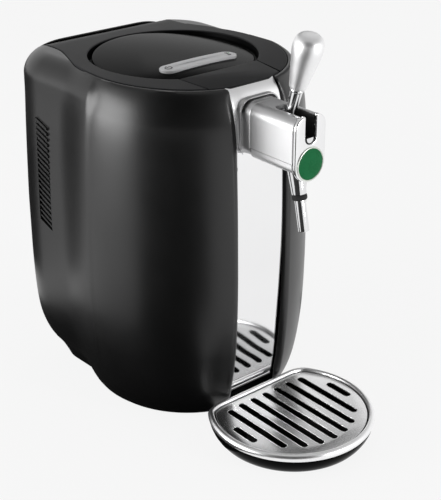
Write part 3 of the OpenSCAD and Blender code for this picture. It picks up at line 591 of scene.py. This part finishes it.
# glossy crowned disc
def disc_z(x, y):
    return 380.3 - x * x / 1280.0 - 0.00034 * (y - 96) ** 2
rd = smin(oval(PHI, 85.8, 88.8), chord(PHI, LC - .9), 5.0)
rows = [(rd - 2.5, -9.5), (rd - .6, -9.3), (rd, -8.6), (rd, -1.5)]
for t in np.linspace(8, 90, 7):
    t = math.radians(t)
    rows.append((rd - 1.3 * (1 - math.cos(t)), -1.3 * (1 - math.sin(t))))
for t in np.linspace(.04, .985, 30):
    rows.append(((rd - 1.3) * (1 - t), 0.0))
P = np.zeros((len(rows), len(PHI), 3))
for i, (r, dz) in enumerate(rows):
    P[i, :, 0] = r * np.sin(PHI)
    P[i, :, 1] = LC - r * np.cos(PHI)
    P[i, :, 2] = disc_z(P[i, :, 0], P[i, :, 1]) + dz
piece("disc_cap", grid(P, wu=True, cap0=True, cap1=True), "gloss", "lid", ("lid_disc",), 45)

# silver strip, its button and its lamp
def pill(hx, hy, n=40):
    return np.array(arc(hx - hy, 0, hy, -90, 90, n) + arc(-(hx - hy), 0, hy, 90, 270, n))
def follow(outline, med, cx, cy, z0, z1, b, levels=(1, .8, .5, .2)):
    q = ccw(outline)
    nrm = normals2(q)
    m = np.stack([np.clip(q[:, 0], -med, med), q[:, 1] * 0], 1)
    rows = [(q, z0), (q, z1 - b)]
    rows += [(q - nrm * b * (1 - math.cos(t)), z1 - b * (1 - math.sin(t))) for t in np.linspace(.3, math.pi / 2, 4)]
    e = rows[-1][0]
    rows += [(m + (e - m) * k, z1) for k in levels[1:]]
    P = np.zeros((len(rows), len(q), 3))
    for i, (o, z) in enumerate(rows):
        P[i, :, 0], P[i, :, 1] = o[:, 0] + cx, o[:, 1] + cy
        P[i, :, 2] = strip_z(P[i, :, 0], P[i, :, 1]) + z
    return grid(P, wu=True, cap0=True, cap1=True)
SY = 33.0
def strip_z(x, y):
    return 380.0 - x * x / 2100.0
def subdivided(o, n):
    return resample(o, n, closed=True)
piece("strip_plate", follow(subdivided(pill(49, 10.2), 260), 38.8, 0, SY, -3.5, .9, .45), "strip", "lid", ("control_strip",), 40)
piece("button_cap", follow(subdivided(pill(5.9, 5.9), 64), 0, -39.8, SY, -2.0, 1.25, .3), "strip", "button", ("power_button",), 40)
piece("lamp_ring", follow(subdivided(pill(5.9, 5.9), 64), 0, 39.8, SY, -2.0, 1.1, .25), "strip", "lid", (), 40)
piece("lamp_lens", follow(subdivided(pill(1.1, 1.1), 32), 0, 42.6, SY + 2.2, .4, 1.32, .15), "lens", "lid", ("temp_lens",), 40)
def band(pts, w):
    """A narrow flat ribbon along pts, as an outline."""
    p = np.asarray(pts, float)
    d = np.gradient(p, axis=0)
    d /= np.linalg.norm(d, axis=1, keepdims=True)
    n = np.stack([-d[:, 1], d[:, 0]], 1) * w / 2
    return np.vstack([p + n, (p - n)[::-1]])
def ribbon(pts, w, cx, cy, top):
    o = ccw(band(pts, w))
    P = np.zeros((2, len(o), 3))
    for i, z in enumerate((top - .3, top)):
        P[i, :, 0], P[i, :, 1] = o[:, 0] + cx, o[:, 1] + cy
        P[i, :, 2] = strip_z(P[i, :, 0], 0) + z
    return grid(P, wu=True, cap0=True, cap1=True)
piece("power_mark", join(ribbon(arc(0, -.3, 3.6, 122, 418, 40), 1.15, -39.8, SY, 1.5), ribbon([(0, .3), (0, 2.4), (0, 4.6)], 1.15, -39.8, SY, 1.5)),
      "icon", "button", (), 40)
piece("cold_mark", join(ribbon(arc(0, -3.2, 1.35, 0, 345, 20), 1.5, 39.4, SY, 1.3), ribbon([(0, -2.4), (0, 1), (0, 4.9)], 1.3, 39.4, SY, 1.3),
      ribbon([(1.4, 4.4), (2.2, 4.4), (3.2, 4.4)], .8, 39.4, SY, 1.3), ribbon([(1.4, 2.3), (2.0, 2.3), (2.8, 2.3)], .8, 39.4, SY, 1.3)),
      "icon", "lid", (), 40)

# ------------------------------------------------------------------ polished column
COL = spline([(-54.6, 31), (-57.0, 44), (-59.9, 62), (-62.3, 90), (-64.3, 120), (-66.4, 170), (-67, 220), (-66.3, 262), (-64.9, 300),
              (-62.6, 335)], 90)
hood = [(-62.6, 335), (-61.9, 342), (-61.0, 349), (-59.7, 356), (-57.9, 362.4), (-55.4, 368), (-52.2, 372.4), (-48.4, 375.6), (-46.6, 376.6)]
COL = resample(gauss(resample(np.vstack([COL[:-1], hood]), 400), 7), 150)
d = np.gradient(COL, axis=0)
d /= np.linalg.norm(d, axis=1, keepdims=True)
cn = np.stack([-d[:, 1], d[:, 0]], 1)             # towards the front and up
R = 1.6
sec = [(-32.3, -5.2)] + [(-32.3 + R * (1 - math.cos(t)), -R * (1 - math.sin(t))) for t in np.linspace(0, math.pi / 2, 7)]
sec += [(x, 0) for x in np.linspace(-28, 28, 14)] + [(-x, z) for x, z in sec[::-1]]
inner = [(x * .955, z - 1.1) for x, z in sec[1:-1]][::-1]
sec = np.array(sec + inner)
P = np.zeros((len(COL), len(sec), 3))
for i in range(len(COL)):
    P[i, :, 0] = sec[:, 0]
    P[i, :, 1] = COL[i, 0] + cn[i, 0] * sec[:, 1]
    P[i, :, 2] = COL[i, 1] + cn[i, 1] * sec[:, 1]
cmat = MATS["column"]
cnt2 = cmat.node_tree
csh2 = next(n for n in cnt2.nodes if n.type == "BSDF_PRINCIPLED")
cgeo = cnt2.nodes.new("ShaderNodeTexCoord")
csep = cnt2.nodes.new("ShaderNodeSeparateXYZ")
cmap = cnt2.nodes.new("ShaderNodeMapRange")
cmap.inputs["From Min"].default_value, cmap.inputs["From Max"].default_value = .318, .362
cmap.inputs["To Min"].default_value, cmap.inputs["To Max"].default_value = .07, .38
cnt2.links.new(cgeo.outputs["Object"], csep.inputs[0])
cnt2.links.new(csep.outputs[2], cmap.inputs["Value"])
cnt2.links.new(cmap.outputs[0], csh2.inputs["Roughness"])
piece("column_skin", grid(P, wu=True, cap0=True, cap1=True), "column", "root", ("front_panel",), 35)

# ------------------------------------------------------------------ tap
def up_part(r, zb, zt_, hw):
    return np.array([(-hw, zb), (hw, zb)] + arc(hw - r, zt_ - r, r, 0, 90, 10) + arc(-hw + r, zt_ - r, r, 90, 180, 10))
def low_part(r, zb, zt_, hw):
    return np.array([(-hw, zt_)] + arc(-hw + r, zb + r, r, 180, 270, 8) + arc(hw - r, zb + r, r, 270, 360, 8) + [(hw, zt_)])
def along(outline, y0, y1, b0, b1, n=260, nb=4):
    """Plate standing across the front: outline in (x, z), from y0 (back) to y1 (front, more negative)."""
    return place(slab(subdivided(outline, n), -y0, -y1, b0, b1, nb), FACE)
body = mesh_object("tap_casting", *along(up_part(11, 319.3, 364, 21), -66, -133.7, .3, .9), sharp=35)
slot_o = np.array([(-8.6, -140), (8.6, -140)] + arc(0, -99, 8.6, 0, 180, 16))
sv, sf = slab(subdivided(slot_o, 80), 336, 380, 0, 0)
cut(body, (sv, sf), sharp=35)
dress(body, "satin_chrome", "root", ("tap_body",))
low = mesh_object("tap_lower", *along(low_part(6.5, 308.2, 318.9, 21), -74, -133.7, .6, .9), sharp=35)
cone_cut = place(lathe([(0, 55), (9.6, 55), (9.6, 90), (0, 90)], 48), Matrix.Translation((0, -131.5, 243)) @ Matrix.Rotation(math.radians(-12.5), 4, "X"))
cut(low, cone_cut, sharp=35)
dress(low, "satin_chrome", "root", ("tap_bottom_cover",))
piece("tap_core", along(rrect(-20.5, 20.5, 317.5, 320.6, .8), -72, -133.2, .2, .2), "black", "root", (), 40)
# collar: a polished frame, a black ring painted as the shadow in the gap, and a second frame against the column
def frame_ring(o_out, o_in, y0, y1, b):
    a, c = ccw(subdivided(o_out, 240)), ccw(subdivided(o_in, 240))
    na, nc = normals2(a), normals2(c)
    rows = [(a, -y0)] + [(a - na * b * (1 - math.cos(t)), -y1 - b * (1 - math.sin(t))) for t in np.linspace(0, math.pi / 2, 5)]
    rows += [(c + nc * b * (1 - math.sin(t)), -y1 - b * (1 - math.cos(t))) for t in np.linspace(0, math.pi / 2, 5)] + [(c, -y0)]
    P = np.zeros((len(rows), 240, 3))
    for i, (o, h) in enumerate(rows):
        P[i, :, :2] = o
        P[i, :, 2] = h
    return place(grid(P, wu=True, wv=True), FACE)
piece("collar_frame", frame_ring(rrect(-26.4, 26.4, 304.2, 367.2, 14), rrect(-24.6, 24.6, 306, 365.8, 12.6), -58.5, -64.3, .8), "satin_chrome", "root", ("tap_collar",), 35)
# black ring between the frames: painted shadow in the gap round the tap root
piece("collar_gap_shadow", frame_ring(rrect(-24.9, 24.9, 305.7, 366, 12.8), rrect(-19.6, 19.6, 309.6, 362.4, 10), -56.5, -60.2, .4), "black", "root", (), 35)
piece("root_ring", frame_ring(rrect(-21.3, 21.3, 307.9, 364.3, 11.6), rrect(-19, 19, 310, 362, 10), -59.5, -73.2, 1.6), "satin_chrome", "root", (), 35)

# face plate
fo = np.array(arc(7.2, 353, 12.9, 81, 0, 12) + arc(0, 317, 20.1, 0, -180, 48) + arc(-7.2, 353, 12.9, 180, 99, 12) + arc(-9, 363.7, 2, 88, 0, 6) + arc(0, 343.2, 7, 180, 360, 20) + arc(9, 363.7, 2, 180, 92, 6))
piece("face_plate", along(fo, -133.8, -137.1, .4, 1.5, 420, 6), "face_chrome", "root", ("tap_face",), 38)
B = Matrix.Translation((0, -137.0, 316)) @ FACE
piece("badge_rim", place(lathe([(15.9, -.6), (17.5, -.6), (17.65, 0.3), (17.5, .9), (17.1, 1.2), (16.5, 1.25), (16.1, 1.0), (15.9, .7)], 96, closed=True), B), "badge_rim", "root", (), 35)
piece("badge_dome", place(lathe([(0, -.5), (15.9, -.5), (16.0, .62), (15.2, .85), (12, 1.15), (8, 1.33), (4, 1.43), (0.6, 1.46), (0, 1.46)], 96), B), "badge_green", "root", ("badge",), 35)

# lever
LV = Matrix.Translation((0, -103, 344)) @ Matrix.Rotation(math.radians(17), 4, "X")
stem = [(4.3, 7.0), (4.85, 7.0), (4.9, 8), (5.1, 16), (5.5, 27), (5.95, 38), (6.15, 42.2), (6.5, 42.6), (6.75, 43.4), (6.75, 44.6), (6.5, 45.4), (6.1, 45.8), (4.3, 45.8)]
piece("stem_sleeve", place(lathe(stem, 72, closed=True), LV), "chrome", "lever", (), 30)
kp = spline([(7.6, 46.3), (8.3, 46.6), (8.75, 48), (9.4, 52), (10.5, 58), (11.9, 66), (13.2, 74), (14.3, 80.5), (15.1, 86.5), (15.28, 90), (14.9, 94), (13.8, 97.8),
             (11.8, 100.7), (8.8, 102.65), (5.0, 103.5), (2.0, 103.72), (0.3, 103.75)], 110)
piece("knob", place(lathe([(0, 46.3)] + [tuple(p) for p in kp] + [(0, 103.75)], 128), LV), "knob", "lever", ("lever_knob",), 30)

# spout
SP = Matrix.Translation((0, -131.5, 243)) @ Matrix.Rotation(math.radians(-12.5), 4, "X")
piece("spout_cone", place(lathe([(4.3, 38.2), (6.6, 38.2), (7.3, 38.5), (7.5, 39.3), (7.9, 48), (8.5, 58), (8.9, 64.5), (9.3, 65.5), (9.3, 68.5), (8.9, 69.5), (4.3, 69.5)], 96, closed=True), SP), "chrome", "root", ("spout_collar",), 30)
piece("spout_ring", place(lathe([(5.7, 32.5), (6.9, 32.6), (7.5, 33.3), (7.75, 34.4), (7.75, 36.4), (7.5, 37.4), (6.9, 38.0), (5.7, 38.1)], 96, closed=True), SP), "rubber", "root", ("spout_seal",), 35)
piece("spout_pipe", place(lathe([(4.0, .4), (4.25, 0), (5.1, 0), (5.5, .25), (5.65, .9), (5.65, 36), (4.0, 36)], 96, closed=True), SP), "chrome", "root", ("spout_tube",), 30)

# ------------------------------------------------------------------ drip tray
TC = -121.0
TP = np.linspace(-math.pi, math.pi, 361)[:-1]      # from the back (+Y), towards +X
def tray_r(o, k=12.0):
    c = np.cos(TP)
    back = np.where(c > .05, (61.0 - o) / np.maximum(c, .05), 999.0)
    return smin(90.0 - o + 0 * TP, back, k)
def tray_rows(prof):
    P = np.zeros((len(prof), len(TP), 3))
    for i, (o, z) in enumerate(prof):
        r = tray_r(o)
        P[i, :, 0] = r * np.sin(TP)
        P[i, :, 1] = TC + r * np.cos(TP)
        P[i, :, 2] = z
    return P
rim = [(1.3, 21.5), (.6, 22.6), (.15, 24.2), (.05, 25.6), (.5, 27.0), (1.3, 28.2), (2.3, 29.0), (3.4, 29.5), (4.5, 29.6), (5.4, 29.2), (6.1, 28.3), (6.5, 27.0), (6.7, 25.0), (6.2, 23.4), (4, 22.6), (2.2, 21.8)]
piece("rim_band", grid(tray_rows(rim), wu=True, wv=True), "rim", "tray", ("tray_rim",), 40)
bo = [(88.5, 0.0), (60, 0.0), (17.5, 0.0), (15.2, .25), (13.2, 1.2), (10.2, 3.6), (7.0, 7.4), (4.2, 12), (2.3, 16.5), (1.5, 19.5), (1.2, 20.9), (1.4, 21.5), (2.6, 22.0),
      (4.2, 22.4), (5.0, 20), (6.5, 14), (9.5, 8), (13, 4.6), (17.5, 3.2), (60, 3.0), (88.5, 3.0)]
def base_rows(prof):
    P = tray_rows([(min(o, 56), z) for o, z in prof])
    for i, (o, z) in enumerate(prof):
        if o > 56:
            P[i, :, :2] = (P[i, :, :2] - [0, TC]) * (90 - o) / 34.0 + [0, TC]
    return P
piece("tray_bowl", grid(base_rows(bo), wu=True, cap0=True, cap1=True), "gloss", "tray", ("tray_base",), 40)

def stadium(x, y0, y1, w, n=14):
    return np.array(arc(x, y1 - w / 2, w / 2, 0, 180, n) + arc(x, y0 + w / 2, w / 2, 180, 360, n))
SL = []
for i in range(-4, 5):
    x = i * 17.2
    f0 = -math.sqrt(72 ** 2 - x * x) + (1 if abs(i) == 4 else 3)
    b0 = {4: 14, 3: 43}.get(abs(i), 45)
    SL.append((x, TC + f0, TC + b0))
r = tray_r(8.2)
plate = np.stack([r * np.sin(TP), TC + r * np.cos(TP)], 1)
plate_ob = mesh_object("grille", *slab(plate, 25.0, 26.6, 0.2, .5, 3), sharp=35)
cv = []
for x, a, b in SL:
    cv.append(slab(stadium(x, a, b, 8.2), 20, 32, 0, 0))
cut(plate_ob, join(*cv), sharp=35)
lips = []
for x, a, b in SL:
    o = subdivided(stadium(x, a, b, 8.2, 20), 130)
    o = ccw(o); nn = normals2(o)
    rows = []
    for t in np.linspace(-.35, math.pi + .35, 9):
        rows.append((o + nn * (.3 - .3 * math.cos(t) - .05), 26.45 + .3 * math.sin(t)))
    P = np.zeros((len(rows), len(o), 3))
    for i, (q, z) in enumerate(rows):
        P[i, :, :2] = q
        P[i, :, 2] = z
    lips.append(grid(P, wu=True, wv=True))
lip_ob = mesh_object("lips", *join(*lips), sharp=35)
bm = bmesh.new(); bm.from_mesh(plate_ob.data); bm.from_mesh(lip_ob.data); bm.to_mesh(plate_ob.data); bm.free()
bpy.data.objects.remove(lip_ob)
shade(plate_ob, 35)
plate_ob.name = "slotted_plate"
dress(plate_ob, "plate", "grille", ("drip_grille",))

# ------------------------------------------------------------------ side louvres
def louvres(sgn):
    parts = []
    x = 126.4
    # backing plate
    parts.append(([(sgn * (x - 1.6 + dx), y, z) for dx in (0, 1.0) for (y, z) in VENT],
                  [(0, 1, 2, 3), (7, 6, 5, 4), (0, 4, 5, 1), (1, 5, 6, 2), (2, 6, 7, 3), (3, 7, 4, 0)]))
    for i in range(19):
        t = (i + .5) / 19
        z0, z1 = 188 + t * 121, 196 + t * 120
        q = [(x - 1.0, 0.0), (x + 1.9, 2.0), (x + 2.2, 3.2), (x + 1.6, 3.8), (x - 1.0, 2.4)]
        P = np.zeros((2, len(q), 3))
        for k, (yy, zz) in enumerate(((133.3, z0), (155.2, z1))):
            for j, (xx, dz) in enumerate(q):
                P[k, j] = (sgn * xx, yy, zz + dz - 1.6)
        parts.append(grid(P, wu=True, cap0=True, cap1=True))
    return join(*parts)
piece("louvres_left", louvres(-1), "black", "root", ("side_vents",), 35)
piece("louvres_right", louvres(1), "black", "root", (), 35)


# ------------------------------------------------------------------ floor, light, camera
fm, fnt, fsh = new_mat("floor")
fnt.links.new(tint(fnt, noise(fnt, coords(fnt), 1.2, 3), (.055, .055, .055), (.06, .06, .06)), fsh.inputs["Base Color"])
fsh.inputs["Roughness"].default_value = .95
fsh.inputs["Specular IOR Level"].default_value = .02
fsh.inputs["Emission Color"].default_value = (1, 1, 1, 1)
fsh.inputs["Emission Strength"].default_value = .885
ring_r = [0, .6, 1.5, 3, 6, 12, 20]
fv, ff = lathe([(r * 1000, 0) for r in ring_r], 64)
floor = mesh_object("floor", fv, ff)
floor.data.materials.append(fm)

world = bpy.context.scene.world or bpy.data.worlds.new("studio")
bpy.context.scene.world = world
world.use_nodes = True
wt = world.node_tree
wb = wt.nodes.get("Background")
wc = wt.nodes.new("ShaderNodeTexCoord")
wx = wt.nodes.new("ShaderNodeSeparateXYZ")
wt.links.new(wc.outputs["Generated"], wx.inputs[0])
def ramp(src, stops):
    r = wt.nodes.new("ShaderNodeValToRGB")
    r.color_ramp.interpolation = "EASE"
    while len(r.color_ramp.elements) < len(stops):
        r.color_ramp.elements.new(.5)
    for e, (x, v) in zip(r.color_ramp.elements, stops):
        e.position, e.color = x, (v, v, v, 1)
    wt.links.new(src, r.inputs[0])
    return r.outputs[0]
high = ramp(wx.outputs[2], [(.34, .92), (.72, .50)])
dotp = wt.nodes.new("ShaderNodeVectorMath")
dotp.operation = "DOT_PRODUCT"
wt.links.new(wc.outputs["Generated"], dotp.inputs[0])
dotp.inputs[1].default_value = (-.62, -.74, .26)
dark = ramp(dotp.outputs["Value"], [(.55, 1.0), (.86, .03)])
mixw = wt.nodes.new("ShaderNodeVectorMath")
mixw.operation = "MULTIPLY"
wt.links.new(high, mixw.inputs[0])
wt.links.new(dark, mixw.inputs[1])
wt.links.new(mixw.outputs[0], wb.inputs[0])
wb.inputs[1].default_value = 1.0

def area(name, loc, target, size, power, size_y=None, color=(1, 1, 1)):
    l = bpy.data.lights.new(name, "AREA")
    l.shape = "RECTANGLE"
    l.size, l.size_y = size, size_y or size
    l.energy, l.color = power, color
    o = bpy.data.objects.new(name, l)
    bpy.context.scene.collection.objects.link(o)
    o.location = loc
    o.visible_camera = False
    o.rotation_euler = (Vector(target) - Vector(loc)).to_track_quat("-Z", "Y").to_euler()
    return o
area("key_left", (-1.5, .55, .42), (0, .03, .25), 1.1, 18, .8)
area("front_right", (.55, -1.75, .45), (0, 0, .2), .30, 14, 1.0)
area("over_right", (1.1, .9, 1.45), (0, -.05, .3), 1.1, 1, 1.1)

# dark cards on the floor, out of the picture, seen only in reflections
cm, cnt, csh = new_mat("card")
cnt.links.new(tint(cnt, noise(cnt, coords(cnt), 1.5, 3), (.012, .012, .012), (.016, .016, .016)), csh.inputs["Base Color"])
csh.inputs["Roughness"].default_value = .95
def card(name, r0, r1, a0, a1, z0, z1):
    """A sector of the floor, or of a low wall: azimuth 0 is towards the front, positive to the right."""
    t = np.radians(np.linspace(a0, a1, 40))
    P = np.zeros((12, 40, 3))
    for i, k in enumerate(np.linspace(0, 1, 12)):
        r = r0 + (r1 - r0) * k
        P[i, :, 0], P[i, :, 1], P[i, :, 2] = r * np.sin(t), -r * np.cos(t) - OY, z0 + (z1 - z0) * k
    ob = mesh_object(name, *grid(P), sharp=60)
    ob.data.materials.append(cm)
    ob.visible_camera = ob.visible_diffuse = ob.visible_shadow = ob.visible_transmission = False
card("card_front", 330, 3600, -84, -22, 2, 2)
card("card_left", 430, 3600, -176, -146, 2, 2)
# card_near and card_near_right lie beside the housing where its cast shadow would fall: painted shadow, seen only in
# reflections
card("card_near", 60, 335, -178, -34, 2, 2)
card("card_near_right", 60, 260, 95, 178, 2, 2)
card("card_back", 420, 3600, 152, 214, 2, 2)
over = mesh_object("card_over", *box(30, 700, 90, 415, 610, 611), sharp=60)
over.data.materials.append(cm)
over.visible_camera = over.visible_diffuse = over.visible_shadow = over.visible_transmission = False

bpy.context.scene.view_settings.view_transform = "Standard"
cam_d = bpy.data.cameras.new("camera")
cam = bpy.data.objects.new("camera", cam_d)
bpy.context.scene.collection.objects.link(cam)
cam_d.sensor_width, cam_d.sensor_fit = 36, "AUTO"
cam_d.lens = 86.83
cam_d.clip_start, cam_d.clip_end = .05, 60
cam.location = (-.7673, -.9278, .7431)
cam.rotation_euler = (Vector((-.0069, -.0247, .180)) - cam.location).to_track_quat("-Z", "Y").to_euler()
bpy.context.scene.camera = cam
